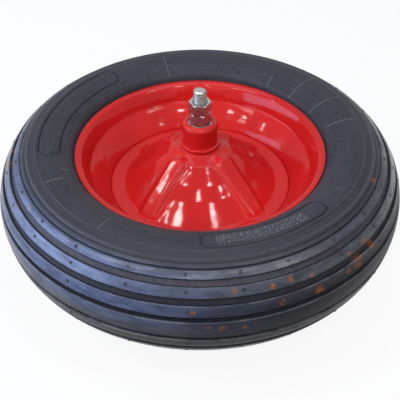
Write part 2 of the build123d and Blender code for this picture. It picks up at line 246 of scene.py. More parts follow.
# The disc: its edge measured in from the rim's lip, its flange's foot, the ledge, the neck and its bends.
DISC_INSET = 30.6 * mm
FLANGE_FOOT = 0.4 * mm
LEDGE_HEIGHT = 6.6 * mm
NECK_LENGTH = 3.4 * mm
DISC_BENDS = (2.2 * mm, 3.0 * mm, 8.0 * mm, 2.2 * mm)
DISC_ROW = 1.0 * mm
# The sheet's underside takes every fourth row of its upper side.
UNDERSIDE_STEP = 4
# The disc's ribs: where the first one stands, its inner tip, how far it runs over the foot, and its flanks.
RIB_COUNT = 4
RIB_START = radians(47.0)
RIB_TIP = 25.0 * mm
RIB_OVERRUN = 8.0 * mm
RIB_SHOULDER = 0.6 * mm
RIB_TOP_BEND = 2.8 * mm
RIB_FOOT_BEND = 3.2 * mm
# Columns of the disc's mesh: millimetres from a rib's middle, then from its edge, and how many lie between
# two ribs. Near the hub a rib's columns crowd together, to take no more than the limit on either side.
RIB_TOP_STEPS = (0.0, 1.6, 3.1)
RIB_WALL_STEPS = (-4.5, -3.6, -2.7, -2.0, -1.4, -0.8, -0.2, 0.5, 1.2, 2.0, 3.5)
RIB_TURN_LIMIT = radians(39.0)
COLUMNS_BETWEEN_RIBS = 22
# How far the cone's sheet leans from its straight slope, at distances from the cone's foot.
RING_PLACES = (0.0, 3 * mm, 23 * mm, 27 * mm, 37 * mm, 41 * mm, 50 * mm, 53 * mm, 57.2 * mm)
RING_LEANS = (0.0, -0.037, -0.037, 0.08, 0.08, -0.037, -0.037, 0.05, 0.0)
RING_STEP = 0.25 * mm

# The hub tube: bore, rolled mouth, mouth's lip, bearing seat and its depth, and the bend at its end.
HUB_BORE = 12.6 * mm
HUB_MOUTH = 10.9 * mm
HUB_LIP = 1.5 * mm
SEAT_RADIUS = 14.0 * mm
SEAT_DEPTH = 9.5 * mm
HUB_BEND = 4.0 * mm
HUB_CHAMFER = 0.3 * mm
# Levels of the hub's mesh under its bend: how far down the first and the last lie, and how many there are.
HUB_LEVELS = (8 * mm, 2 * mm, 4)
# How far the weld's lumps stand out from the hub and above the weld's foot.
WELD_OUT = 0.7 * mm
WELD_UP = 0.8 * mm

# The nuts: turn of each about the axle, their mesh's columns beside a flat's middle, the bevel and cut of
# their corners, the mouth and clearance of their bore, and the fine edge between end face and bevel.
NUT_TURNS = {"inner": 16.0, "outer": -31.0}
NUT_COLUMNS = (-28.8, -27, -22, -16, -8, 0, 8, 16, 22, 27, 28.8, 30)
NUT_BEVEL = radians(30.0)
NUT_CORNER_CUT = 0.25 * mm
NUT_MOUTH = 0.9 * mm
NUT_CLEARANCE = 0.02 * mm
NUT_FACE_EDGE = 0.3 * mm
NUT_FACE_STEP = 0.02 * mm
NUT_BEVEL_FOOT = 0.12 * mm
# The thread begins inside the outer nut, and the bar ends in a chamfer round a fine centre mark.
THREAD_START = 3 * mm
THREAD_RUNOUT = 1 * mm
AXLE_CHAMFER = 0.8 * mm
CENTRE_MARK = 0.2 * mm
# The wound tooth stops short of the bar's end by this many tooth radii.
TOOTH_END_GAP = 2.2

# Columns round each turned piece, and the angles in degrees past which an edge stays sharp.
RIM_COLUMNS = 240
HUB_COLUMNS = 96
AXLE_COLUMNS = 48
SHARP_EDGE = 35.0
SHARP_RUBBER = 50.0
SHARP_NUT = 28.0
SHARP_THREAD = 60.0
SHARP_BEAD = 80.0

# The stage: width of the camera's sensor in millimetres, lamps' distance from the wheel's centre, half of the
# floor's side, and the floor's gap below the axle.
SENSOR_WIDTH = 36.0
LAMP_DISTANCE = 1.6
FLOOR_REACH = 3.0
FLOOR_GAP = 0.5 * mm


class Value:
    """A socket of a node tree that takes part in sums, as a number does."""

    def __init__(self, tree, socket):
        self.tree = tree
        self.socket = socket

    def other(self, name):
        """Another output of the node that this value comes from."""
        return Value(self.tree, self.socket.node.outputs[name])

    def maths(self, operation, *values):
        """Result of a Math node."""
        return self.tree.node("ShaderNodeMath", {"operation": operation}, *values)

    def __add__(self, other):
        return self.maths("ADD", self, other)

    def __sub__(self, other):
        return self.maths("SUBTRACT", self, other)

    def __rsub__(self, other):
        return self.maths("SUBTRACT", other, self)

    def __mul__(self, other):
        return self.maths("MULTIPLY", self, other)

    def __truediv__(self, other):
        return self.maths("DIVIDE", self, other)

    def __pow__(self, other):
        return self.maths("POWER", self, other)

    def __abs__(self):
        return self.maths("ABSOLUTE", self)

    __radd__ = __add__
    __rmul__ = __mul__

    def top(self, other):
        """Higher of this value and another."""
        return self.maths("MAXIMUM", self, other)

    def low(self, other):
        """Lower of this value and another."""
        return self.maths("MINIMUM", self, other)

    def turn_from(self, bearing):
        """How far this angle lies from a bearing in degrees, at most half a turn either way."""
        return self.maths("WRAP", self - radians(bearing), pi, -pi)

    def ramp(self, start, end):
        """Rises smoothly from 0 at start to 1 at end; start may lie above end."""
        settings = {"interpolation_type": "SMOOTHSTEP"}
        if start <= end:
            return self.tree.node("ShaderNodeMapRange", settings, self, start, end, 0.0, 1.0)
        return self.tree.node("ShaderNodeMapRange", settings, self, end, start, 1.0, 0.0)


def socket_title(name):
    """Title of a socket from its name in small letters."""
    return name.replace("_", " ").title().replace("Ior", "IOR")


class Tree:
    """A node tree, with one way to add nodes to it."""

    def __init__(self, tree):
        self.nodes = tree.nodes
        self.links = tree.links
        self.nodes.clear()

    def node(self, kind, settings, *values, output=0, **named):
        """Adds a node of a kind, sets it up, then fills its sockets in order or by name."""
        node = self.nodes.new(kind)
        for key, value in settings.items():
            setattr(node, key, value)
        titled = ((socket_title(name), value) for name, value in named.items())
        for key, value in (*enumerate(values), *titled):
            self.fill(node.inputs[key], value)
        return Value(self, node.outputs[output]) if node.outputs else None

    def fill(self, socket, value):
        """Links or writes a value to a socket, which stays as it is for None."""
        if isinstance(value, Value):
            self.links.new(value.socket, socket)
        elif value is not None:
            socket.default_value = (*value, 1.0) if socket.type == "RGBA" else value

    def seen_by_eye(self):
        """1 where the camera or a clear or glossy piece looks at the surface, and 0 where light comes by."""
        path = self.node("ShaderNodeLightPath", {})
        eye, glossy, clear = (path.other(f"Is {name} Ray") for name in ("Camera", "Glossy", "Transmission"))
        return eye.top(glossy).top(clear)


class Finish(Tree):
    """A material and the nodes that it is made of."""

    def __init__(self, name):
        self.material = bpy.data.materials.new(name)
        self.material.use_nodes = True
        super().__init__(self.material.node_tree)
        self.place = self.node("ShaderNodeTexCoord", {}, output="Object")

    def mix(self, share, first, second):
        """Colour that goes from the first to the second as the share goes from 0 to 1."""
        skipped = [None] * 5
        return self.node("ShaderNodeMix", {"data_type": "RGBA"}, share, *skipped, first, second, output=2)

    def axes(self):
        """The three coordinates of the place, each as a value."""
        split = self.node("ShaderNodeSeparateXYZ", {}, self.place)
        return [split.other(axis) for axis in "XYZ"]

    def noise(self, scale, detail=3.0, rough=0.55, place=None, stretch=(1, 1, 1), seed=0.0):
        """Cloudy pattern; the scale is in spots to the metre."""
        where = self.node("ShaderNodeMapping", {}, place or self.place, (seed,) * 3, (0, 0, 0), stretch)
        return self.node("ShaderNodeTexNoise", {}, where, scale=scale, detail=detail, roughness=rough)

    def bump(self, height, distance, strength=1.0, normal=None):
        """Direction of a surface on which the height is raised."""
        return self.node(
            "ShaderNodeBump", {}, strength=strength, distance=distance, height=height, normal=normal
        )

    def apply(self, glow=None, **sockets):
        """Ends the tree in a surface with its sockets filled by name; a glow blends even white into it."""
        surface = self.node("ShaderNodeBsdfPrincipled", {}, **sockets)
        if glow is not None:
            white = self.node("ShaderNodeEmission", {})
            surface = self.node("ShaderNodeMixShader", {}, glow, surface, white)
        self.node("ShaderNodeOutputMaterial", {}, surface)
        return self.material


class Growth(Tree):
    """A geometry tree whose inputs are named, the last being the material that its real geometry gets."""

    def __init__(self, name, inputs):
        self.group = bpy.data.node_groups.new(name, "GeometryNodeTree")
        super().__init__(self.group)
        ends = [("Geometry", "NodeSocketGeometry", None), *inputs, ("Material", "NodeSocketMaterial", None)]
        for label, kind, default in ends:
            socket = self.group.interface.new_socket(label, in_out="INPUT", socket_type=kind)
            if default is not None:
                socket.default_value = default
        self.group.interface.new_socket("Geometry", in_out="OUTPUT", socket_type="NodeSocketGeometry")
        self.start = self.node("NodeGroupInput", {})

    def given(self, name):
        """Value of one of the tree's inputs."""
        return self.start.other(name)

    def finish(self, source):
        """Ends the tree and gives the group that a modifier takes."""
        real = self.node("GeometryNodeRealizeInstances", {}, source)
        dressed = self.node("GeometryNodeSetMaterial", {}, real, material=self.given("Material"))
        self.node("NodeGroupOutput", {}, dressed)
        return self.group


def crown_height(tyre):
    """How far the crown stands out past the widest point."""
    return tyre.radius - tyre.widest_radius


def per_degree(tyre, section_turn):
    """Length of one degree round the smooth section, at a place or at an array of places."""
    t = np.radians(section_turn)
    return np.hypot(crown_height(tyre) * np.sin(t), tyre.half_width * np.cos(t)) * radians(1)


def radius_at(tyre, section_turn):
    """Radius of the smooth tyre at a place round its section."""
    return tyre.widest_radius + crown_height(tyre) * np.cos(np.radians(section_turn))


def tyre_place(tyre, section_turn, round_turn):
    """Point on the smooth tyre and the outward direction there, from two turns in degrees."""
    t, a = radians(section_turn), radians(round_turn)
    crown = crown_height(tyre)
    radius = tyre.widest_radius + crown * cos(t)
    outward = Vector((tyre.half_width * cos(t) * cos(a), tyre.half_width * cos(t) * sin(a), crown * sin(t)))
    return Vector((radius * cos(a), radius * sin(a), tyre.half_width * sin(t))), outward.normalized()


class RubberPlace:
    """Where a point of the rubber lies, and the cloudy patterns that its colours share.

    The fullness is 1 on the smooth section and less in a groove.
    """

    def __init__(self, finish, tyre):
        x, y, self.z = finish.axes()
        self.radius = (x * x + y * y) ** 0.5
        self.angle = y.maths("ARCTAN2", y, x)
        rise, out = (self.radius - tyre.widest_radius) / crown_height(tyre), self.z / tyre.half_width
        self.section = y.maths("ARCTAN2", out, rise)
        self.fullness = rise ** 2.0 + out ** 2.0
        self.on_tread = self.radius.ramp(160 * mm, 168 * mm)
        self.on_side = self.radius.ramp(158 * mm, 150 * mm)
        self.upper = self.z.ramp(20 * mm, 30 * mm)
        self.clouds = finish.noise(22.0, detail=4.0)
        self.grain = finish.noise(900.0, detail=3.0, rough=0.7)
        self.flecks = finish.noise(260.0, detail=4.0, rough=0.75)
        self.streaks = finish.noise(46.0, detail=5.0, rough=0.65, stretch=(1.0, 1.0, 4.0))


def highest(values):
    """The highest of several masks."""
    first, *others = values
    for value in others:
        first = first.top(value)
    return first


def tread_colours(finish, tyre, place, base):
    """Ribs scuffed and painted with sheen, dust and painted shade in the grooves; gives the colour and the
    sheen.
    """
    on_rib = place.on_tread * place.fullness.ramp(0.955, 0.99)
    # Real scuff streaks, with painted sheen: they fade towards the lower side, so the upper side is shown
    # lighter.
    scuffed = (0.5 + 0.5 * place.streaks.ramp(0.36, 0.62)) * (0.35 + 0.65 * place.z.ramp(-20 * mm, 0.0))
    wear_and_sheen = on_rib * abs(place.z).ramp(14 * mm, 32 * mm) * scuffed
    # Painted sheen: the window's bluish reflection painted on the ribs of one side, upper half only.
    painted_sheen_mask = abs(place.angle.turn_from(PAINTED_SHEEN_TURN)).ramp(radians(75), radians(10)) * on_rib * scuffed
    # Groove floors lighter towards the upper side: dust, with painted light in its fade to the darker lower
    # grooves.
    groove_dust_and_light = (0.1 + 0.9 * place.z.ramp(20 * mm, 40 * mm)) * (0.55 + 0.45 * place.flecks.ramp(0.35, 0.6))
    # Painted shade on the groove walls, just under the rib edges.
    groove_wall = place.fullness.ramp(0.90, 0.93) * place.fullness.ramp(0.985, 0.96)
    base = finish.mix(wear_and_sheen, base, tyre.wear_and_sheen_rubber)
    base = finish.mix(painted_sheen_mask * place.z.ramp(-12 * mm, 12 * mm), base, tyre.painted_sheen)
    base = finish.mix(place.fullness.ramp(0.97, 0.90) * place.on_tread * groove_dust_and_light, base, tyre.dust_and_highlight)
    base = finish.mix(groove_wall * place.on_tread, base, tyre.painted_shade_rubber)
    return base, wear_and_sheen.top(painted_sheen_mask * 0.7)


def side_colours(finish, tyre, place, base):
    """Painted highlight and shadow rings on the ridges, side wall dust, flecks on all the rubber; gives the
    colour and the dust.
    """
    soft = 0.3 * mm
    # Painted highlights on the ridge tops and a painted shadow beside the outer ridge.
    for middle, width, name in SIDE_RINGS:
        ring = abs(place.radius - middle).ramp(width + soft, width - soft)
        base = finish.mix(ring * place.upper * 0.8, base, getattr(tyre, name))
    wound = finish.node("ShaderNodeCombineXYZ", {}, place.radius * 900.0, place.angle * 3.0, place.z * 60.0)
    rings = finish.noise(1.0, detail=3.0, rough=0.7, place=wound)
    clouded = place.clouds.ramp(0.36, 0.7) * place.flecks.ramp(0.30, 0.7)
    dusty = place.on_side * clouded.top(rings.ramp(0.52, 0.66) * 0.8)
    base = finish.mix(dusty * 0.55, base, tyre.dust_and_highlight)
    base = finish.mix(place.on_side * rings.ramp(0.48, 0.36) * 0.5, base, tyre.rubber)
    base = finish.mix(place.flecks.ramp(0.56, 0.74) * 0.5, base, tyre.wear_and_sheen_rubber)
    base = finish.mix(place.on_side * place.flecks.ramp(0.45, 0.30) * 0.6, base, tyre.rubber)
    return base, dusty


def line_colours(finish, tyre, place, base):
    """Pale moulding lines across the side wall and painted highlights along the upper rib edges."""
    lines = []
    for round_turn, start, end in FLASH_LINES:
        away = abs(place.angle.turn_from(round_turn)) * place.radius
        outer, inner = float(radius_at(tyre, start)), float(radius_at(tyre, end))
        ends = place.radius.ramp(inner - 1 * mm, inner) * place.radius.ramp(outer + 1 * mm, outer)
        lines.append(away.ramp(0.75 * mm, 0.25 * mm) * ends)
    base = finish.mix(highest(lines) * place.upper * 0.55, base, tyre.flash_and_highlight)
    # Painted highlights along the upper edges of the ribs, where light catches them.
    for edge in PAINTED_HIGHLIGHT_EDGES:
        away = abs(place.section - radians(edge)) * tyre.half_width
        wear_and_sheen = away.ramp(0.9 * mm, 0.3 * mm) * (0.2 + 0.5 * place.streaks.ramp(0.4, 0.6))
        base = finish.mix(wear_and_sheen, base, tyre.flash_and_highlight)
    return base


def outline_colours(finish, tyre, place, base):
    """Painted shade in the moulded outlines of the bare panels."""
    crown = crown_height(tyre)
    middle_row = (PANEL_TOP + PANEL_FOOT) / 2
    middle_radius = float(radius_at(tyre, middle_row))
    half_height = radians(PANEL_FOOT - PANEL_TOP) / 2 * crown
    for middle, half_span in PANELS:
        # Painted shade along the outline groove.
        half_length = radians(half_span) * middle_radius
        along = abs(place.angle.turn_from(middle)) * middle_radius - (half_length - PANEL_CORNER)
        across = abs(place.section - radians(middle_row)) * crown - (half_height - PANEL_CORNER)
        outside = (along.top(0.0) ** 2.0 + across.top(0.0) ** 2.0) ** 0.5 + along.top(across).low(0.0)
        outline = abs(outside - PANEL_CORNER).ramp(1.0 * mm, 0.3 * mm)
        base = finish.mix(outline * 0.8, base, tyre.painted_shade_rubber)
    return base


def rust_mask(finish, tyre, place):
    """Blotchy rust at the stains' places and in a few stray spots on the tread."""
    spots = []
    for round_turn, height, size in STAINS:
        point, _ = tyre_place(tyre, degrees(asin(height * mm / tyre.half_width)), round_turn)
        settings = {"operation": "DISTANCE"}
        away = finish.node("ShaderNodeVectorMath", settings, finish.place, tuple(point), output="Value")
        spots.append(away.ramp(1.7 * size * mm, 0.5 * size * mm))
    strays = finish.noise(34.0, detail=2.0, seed=3.7).ramp(0.71, 0.77) * place.on_tread * 0.7
    blotches = finish.noise(420.0, detail=4.0, rough=0.7)
    return highest(spots).top(strays) * blotches.ramp(0.40, 0.60)


def rubber_finish(scene):
    """Moulded rubber: painted groove shade, scuffed ribs with painted sheen, side wall dust and rust stains
    on the tread.
    """
    tyre = scene.wheel_tyre
    finish = Finish("moulded_rubber")
    place = RubberPlace(finish, tyre)
    base = finish.mix(place.on_tread, tyre.side_rubber, tyre.rubber)
    base, sheen = tread_colours(finish, tyre, place, base)
    base, dusty = side_colours(finish, tyre, place, base)
    base = line_colours(finish, tyre, place, base)
    base = outline_colours(finish, tyre, place, base)
    rusty = rust_mask(finish, tyre, place)
    return finish.apply(
        base_color=finish.mix(rusty, base, tyre.rust),
        roughness=0.36 + place.clouds * 0.14 + rusty * 0.3 + dusty * 0.1,
        specular_ior_level=0.15,
        coat_weight=sheen,
        coat_roughness=0.28,
        normal=finish.bump(place.grain * 0.4 + place.flecks * 0.6, 0.25 * mm, 0.5),
    )


def paint_finish(scene):
    """Glossy paint on pressed sheet, a little wavy, with patches where it lies thick."""
    rim = scene.wheel_rim
    finish = Finish("red_paint")
    waves = finish.noise(62.0, detail=1.0, rough=0.4)
    peel = finish.noise(420.0, detail=2.0, rough=0.5)
    clouds = finish.noise(16.0, detail=2.0, seed=1.3)
    specks = finish.noise(700.0, detail=2.0, rough=0.6)
    base = finish.mix(clouds.ramp(0.35, 0.7) * 0.45, rim.paint, rim.deep_paint)
    base = finish.mix(specks.ramp(0.72, 0.8) * 0.5, base, rim.deep_paint)
    soft = finish.bump(waves, 1.5 * mm, 0.35)
    return finish.apply(
        base_color=base,
        roughness=0.07 + clouds * 0.05,
        specular_ior_level=0.22,
        normal=finish.bump(peel, 0.10 * mm, 0.25, soft),
    )


def zinc_finish(scene):
    """Zinc plating with patches of grime, dirt in the thread and fine scratches."""
    axle = scene.wheel_axle
    finish = Finish("worn_zinc")
    patches = finish.noise(260.0, detail=4.0, rough=0.7)
    scratches = finish.noise(900.0, detail=3.0, rough=0.6, stretch=(1.0, 1.0, 0.15))
    x, y, z = finish.axes()
    radius = (x * x + y * y) ** 0.5
    end = axle_box[1].z
    valley = radius.ramp(5.7 * mm, 5.2 * mm) * abs(z).ramp(end - 0.7 * mm, end - 1.0 * mm)
    dirty = (patches.ramp(0.56, 0.76) * 0.5).top(valley)
    return finish.apply(
        base_color=finish.mix(dirty, axle.zinc, axle.grime),
        metallic=1.0 - dirty * 0.5,
        roughness=0.16 + patches * 0.26,
        normal=finish.bump(scratches, 0.05 * mm, 0.5),
    )


def steel_finish(name, base_colour, roughness):
    """Plain bright metal with fine turning marks."""
    finish = Finish(name)
    marks = finish.noise(1400.0, detail=2.0, stretch=(1.0, 1.0, 0.1))
    tone = finish.noise(120.0, detail=3.0)
    return finish.apply(
        base_color=finish.mix(tone.ramp(0.3, 0.8) * 0.5, base_colour, tuple(c * 0.55 for c in base_colour)),
        metallic=1.0,
        roughness=roughness + tone * 0.1,
        normal=finish.bump(marks, 0.03 * mm, 0.4),
    )


def plain_finish(name, base_colour, roughness):
    """Plastic or rubber with a fine grain."""
    finish = Finish(name)
    grain = finish.noise(1100.0, detail=2.0)
    tone = finish.noise(90.0, detail=3.0)
    return finish.apply(
        base_color=finish.mix(tone * 0.6, base_colour, tuple(c * 1.8 + 0.01 for c in base_colour)),
        roughness=roughness + tone * 0.1,
        normal=finish.bump(grain, 0.05 * mm, 0.4),
    )


def linked(name, mesh, sharp=SHARP_EDGE):
    """Object for a finished mesh, linked to the scene and shaded smooth but for its sharp edges."""
    mesh.polygons.foreach_set("use_smooth", [True] * len(mesh.polygons))
    mesh.set_sharp_from_angle(angle=radians(sharp))
    piece = bpy.data.objects.new(name, mesh)
    bpy.context.scene.collection.objects.link(piece)
    return piece


def new_piece(name, vertices, faces, material, sharp=SHARP_EDGE):
    """Mesh object at the origin, made of vertices and faces."""
    mesh = bpy.data.meshes.new(name)
    mesh.from_pydata(vertices, [], faces)
    mesh.materials.append(material)
    mesh.update()
    return linked(name, mesh, sharp)


def ring_faces(columns, rows, flip=False):
    """Faces of a closed ring whose vertices run down each column in turn."""
    faces = []
    for column in range(columns):
        here = column * rows
        there = (column + 1) % columns * rows
        for row in range(rows):
            after = (row + 1) % rows
            face = (here + row, there + row, there + after, here + after)
            faces.append(face[::-1] if flip else face)
    return faces


def lathe(name, angles, section_at, material, sharp=SHARP_EDGE):
    """Closed ring whose section, run through anticlockwise, may change with the angle."""
    sections = [section_at(angle) for angle in angles]
    vertices = [
        (radius * cos(angle), radius * sin(angle), height)
        for angle, section in zip(angles, sections)
        for radius, height in section
    ]
    return new_piece(name, vertices, ring_faces(len(angles), len(sections[0])), material, sharp)


def even_angles(count):
    """Angles of a whole turn in even steps."""
    return [2 * pi * step / count for step in range(count)]


def mirrored(half):
    """The same points below the middle, in the opposite order."""
    return [(radius, -height) for radius, height in reversed(half)]


def rounded(points, bends, pieces=6):
    """Path through the points with each inner corner rounded by its own radius."""
    path = [Vector(points[0])]
    for before, corner, after, bend in zip(points, points[1:], points[2:], bends):
        corner = Vector(corner)
        come = (Vector(before) - corner).normalized()
        go = (Vector(after) - corner).normalized()
        half = come.angle(go) / 2
        reach = bend / tan(half)
        middle = corner + (come + go).normalized() * (bend / sin(half))
        start = corner + come * reach - middle
        end = corner + go * reach - middle
        sweep = start.angle_signed(end)
        for step in range(pieces + 1):
            turned = start.copy()
            turned.rotate(Matrix.Rotation(-sweep * step / pieces, 2))
            path.append(middle + turned)
    path.append(Vector(points[-1]))
    return path


def divided(path, spacing):
    """The same path with its long runs divided."""
    out = [path[0]]
    for before, after in zip(path, path[1:]):
        count = max(1, round((after - before).length / spacing))
        out += [before.lerp(after, step / count) for step in range(1, count + 1)]
    return out


def bulged(path, amount, shortest=4 * mm, pieces=10):
    """The same path with its long straight runs divided and bowed out by the amount."""
    out = [path[0]]
    for before, after in zip(path, path[1:]):
        run = after - before
        if run.length < shortest:
            out.append(after)
            continue
        outward = Vector((run.y, -run.x)).normalized()
        for step in range(1, pieces + 1):
            share = step / pieces
            out.append(before.lerp(after, share) + outward * amount * 4 * share * (1 - share))
    return out


def offset_path(path, amount):
    """Path moved to its right by the amount."""
    out = []
    for index, point in enumerate(path):
        along = path[min(index + 1, len(path) - 1)] - path[max(index - 1, 0)]
        out.append(point + Vector((along.y, -along.x)).normalized() * amount)
    return out


def smooth_step(values, start, end):
    """Rises smoothly from 0 at start to 1 at end, for an array."""
    share = np.clip((values - start) / (end - start), 0.0, 1.0)
    return share * share * (3 - 2 * share)


def thinned(values, least):
    """The values in order, without those that follow the one before too closely."""
    kept = []
    for value in sorted(values):
        if not kept or value - kept[-1] > least:
            kept.append(value)
    return np.array(kept)


def tyre_rows(tyre, last=118.0, spacing=4.0, least=0.12):
    """Turns round the outer section, closer together where the rubber has detail."""
    rows = list(np.arange(-last, last + 0.1, spacing))
    crown_degree = radians(1) * crown_height(tyre)
    for middle, width, _ in TREAD_GROOVES:
        for wall in (-1, 1):
            for share in (-0.4, 0.0, 0.25, 0.55, 1.0):
                away = width / 2 - GROOVE_WALL_RUN * share
                rows.append(middle + wall * away / crown_degree)
    for middle, size in SIDE_RIDGES:
        rows += [middle + share * size / crown_degree for share in (-1.4, -0.9, -0.45, 0.0, 0.45, 0.9, 1.4)]
    rows += [-row for row in rows]
    rows += list(np.arange(PANEL_TOP - 2, PANEL_FOOT + 2, 1.0))
    for edge in (PANEL_TOP, PANEL_FOOT):
        rows += [edge + step for step in (-1.5, -1.0, -0.5, 0.0, 0.5, 1.0, 1.5)]
    return thinned(rows, least)


def tyre_columns(spacing=1.8, panel_reach=5.0, panel_spacing=0.35, least=0.08):
    """Turns round the wheel, closer together at the panels' ends and the fine lines."""
    columns = list(np.arange(0.0, 360.0, spacing))
    for middle, half_span in PANELS:
        for end in (middle - half_span, middle + half_span):
            columns += list(np.arange(end - panel_reach, end + panel_reach, panel_spacing))
    for line in FLASH_LINES:
        columns += [line[0] + step for step in (-0.45, -0.22, -0.1, 0.0, 0.1, 0.22, 0.45)]
    return thinned((value % 360.0 for value in columns), least)


def tyre_relief(tyre, rows, columns):
    """How far the rubber stands out of the smooth section, for each row and column."""
    t, a = np.meshgrid(rows, columns)
    crown = crown_height(tyre)
    radius = radius_at(tyre, t)
    relief = np.zeros_like(t)
    for middle, width, depth in TREAD_GROOVES:
        inside = width / 2 - np.abs(np.abs(t) - middle) * per_degree(tyre, middle)
        relief -= depth * smooth_step(inside, -GROOVE_WALL_RUN * 0.4, GROOVE_WALL_RUN)
    for middle, size in SIDE_RIDGES:
        away = np.abs(np.abs(t) - middle) * crown * radians(1) / size
        relief += size * np.exp(-((away * 1.15) ** 2))
    middle_row = (PANEL_TOP + PANEL_FOOT) / 2
    half_height = (PANEL_FOOT - PANEL_TOP) / 2 * crown * radians(1)
    for middle, half_span in PANELS:
        round_degree = radians(1) * radius_at(tyre, middle_row)
        along = (np.abs(a - middle) - half_span) * round_degree + PANEL_CORNER
        across = np.abs(t - middle_row) * per_degree(tyre, t) - (half_height - PANEL_CORNER)
        past_corner = np.hypot(np.maximum(along, 0), np.maximum(across, 0))
        away = past_corner + np.minimum(np.maximum(along, across), 0) - PANEL_CORNER
        relief -= tyre.outline_depth * np.exp(-((away / tyre.outline_width) ** 2))
        relief -= tyre.panel_depth * smooth_step(-away, 0.0, PANEL_EDGE)
    for round_turn, start, end in FLASH_LINES:
        away = (a - round_turn) * radians(1) * radius
        shown = smooth_step(t, start - 1.0, start + 1.0) * (1 - smooth_step(t, end - 1.0, end + 1.0))
        relief += tyre.flash_height * shown * np.exp(-((away / FLASH_WIDTH) ** 2))
    unevenness = np.sin(np.radians(a * 7 + t * 3)) + np.sin(np.radians(a * 13 - t * 5 + 40)) * 0.6
    relief += TREAD_UNEVENNESS * unevenness * smooth_step(-np.abs(t), -80.0, -50.0)
    return relief


def tyre_foot(rim):
    """Points from beside the rim's lip down to the bead and up into the cavity, on the upper side."""
    lip, level = rim.lip_radius, rim.lip_height
    return [
        (lip + 4.0 * mm, level + 5.2 * mm),
        (lip + 2.6 * mm, level + 3.4 * mm),
        (lip + 1.8 * mm, level + 1.0 * mm),
        (lip + 1.2 * mm, level - 1.8 * mm),
        (lip - 1.5 * mm, level - 2.6 * mm),
        (lip - 4.4 * mm, level - 5.0 * mm),
        (lip - 7.6 * mm, level - 11.4 * mm),
        (lip - 10.4 * mm, level - 16.8 * mm),
        (lip - 6.0 * mm, level - 18.6 * mm),
        (lip - 1.0 * mm, level - 16.6 * mm),
        (lip + 0.6 * mm, level - 12.6 * mm),
    ]


def tyre_cavity(tyre, last=120.0, spacing=20.0):
    """Points of the cavity's wall, from the upper side over the crown to the lower one."""
    crown = crown_height(tyre) - tyre.tread_thickness
    width = tyre.half_width - tyre.side_thickness
    turns = np.radians(np.arange(last, -last - 1.0, -spacing))
    return [(tyre.widest_radius + crown * cos(t), width * sin(t)) for t in turns]


def build_tyre(scene, rubber):
    """The tyre's rubber, with its grooves, ridges, panels and moulding lines."""
    tyre, rim = scene.wheel_tyre, scene.wheel_rim
    rows, columns = tyre_rows(tyre), tyre_columns()
    relief = tyre_relief(tyre, rows, columns)
    t = np.radians(rows)
    radii, heights = radius_at(tyre, rows), tyre.half_width * np.sin(t)
    out_r, out_z = tyre.half_width * np.cos(t), crown_height(tyre) * np.sin(t)
    size = np.hypot(out_r, out_z)
    foot = tyre_foot(rim)
    hidden = foot + tyre_cavity(tyre) + mirrored(foot)
    angles = [radians(column) for column in columns]
    bumps = dict(zip(angles, relief))

    def section(angle):
        outer = zip(radii + bumps[angle] * out_r / size, heights + bumps[angle] * out_z / size)
        return [*outer, *hidden]

    piece = lathe("tyre_rubber", angles, section, rubber, SHARP_RUBBER)
    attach(piece, "wheel")
    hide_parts("tyre")


def grown(name, base_mesh, group, values, sharp=SHARP_EDGE):
    """Runs a geometry tree on a mesh and keeps the result as a plain mesh object."""
    carrier = bpy.data.objects.new(name + "_base", base_mesh)
    bpy.context.scene.collection.objects.link(carrier)
    modifier = carrier.modifiers.new("Shape", "NODES")
    modifier.node_group = group
    for item in group.interface.items_tree:
        if item.item_type == "SOCKET" and item.in_out == "INPUT" and item.name in values:
            modifier[item.identifier] = values[item.name]
    carrier.update_tag()
    graph = bpy.context.evaluated_depsgraph_get()
    mesh = bpy.data.meshes.new_from_object(carrier.evaluated_get(graph))
    mesh.name = name
    carrier.modifiers.remove(modifier)
    bpy.data.objects.remove(carrier)
    return linked(name, mesh, sharp)


def marks_tree():
    """Geometry tree that sets one copy of a mark on every point, turned to face outwards."""
    inputs = (
        ("Mark", "NodeSocketObject", None),
        ("Smallest", "NodeSocketFloat", 0.8),
        ("Largest", "NodeSocketFloat", 1.2),
    )
    tree = Growth("Marks on points", inputs)
    points = tree.node("GeometryNodeMeshToPoints", {}, mesh=tree.given("Geometry"))
    outward = tree.node("GeometryNodeInputNamedAttribute", {"data_type": "FLOAT_VECTOR"}, name="outward")
    turned = tree.node("FunctionNodeAlignRotationToVector", {"axis": "Z"}, vector=outward)
    span = (None, None, tree.given("Smallest"), tree.given("Largest"))
    sizes = tree.node("FunctionNodeRandomValue", {"data_type": "FLOAT"}, *span, seed=4, output=1)
    settings = {"transform_space": "ORIGINAL"}
    mark = tree.node("GeometryNodeObjectInfo", settings, object=tree.given("Mark"), output="Geometry")
    return tree.finish(
        tree.node(
            "GeometryNodeInstanceOnPoints", {}, points=points, instance=mark, rotation=turned, scale=sizes
        )
    )


def point_mesh(name, places):
    """Mesh of loose points, each with its outward direction kept as an attribute."""
    mesh = bpy.data.meshes.new(name)
    mesh.from_pydata([tuple(point) for point, _ in places], [], [])
    outward = mesh.attributes.new("outward", "FLOAT_VECTOR", "POINT")
    outward.data.foreach_set("vector", [value for _, normal in places for value in normal])
    return mesh


def turned_mark(name, columns, shape, radius, material, sharp=SHARP_EDGE):
    """Small turned shape that stays out of the scene, for a tree to copy."""
    section = [(radius * out, radius * up) for out, up in shape]
    piece = lathe(name, even_angles(columns), lambda angle: section, material, sharp)
    bpy.context.scene.collection.objects.unlink(piece)
    return piece


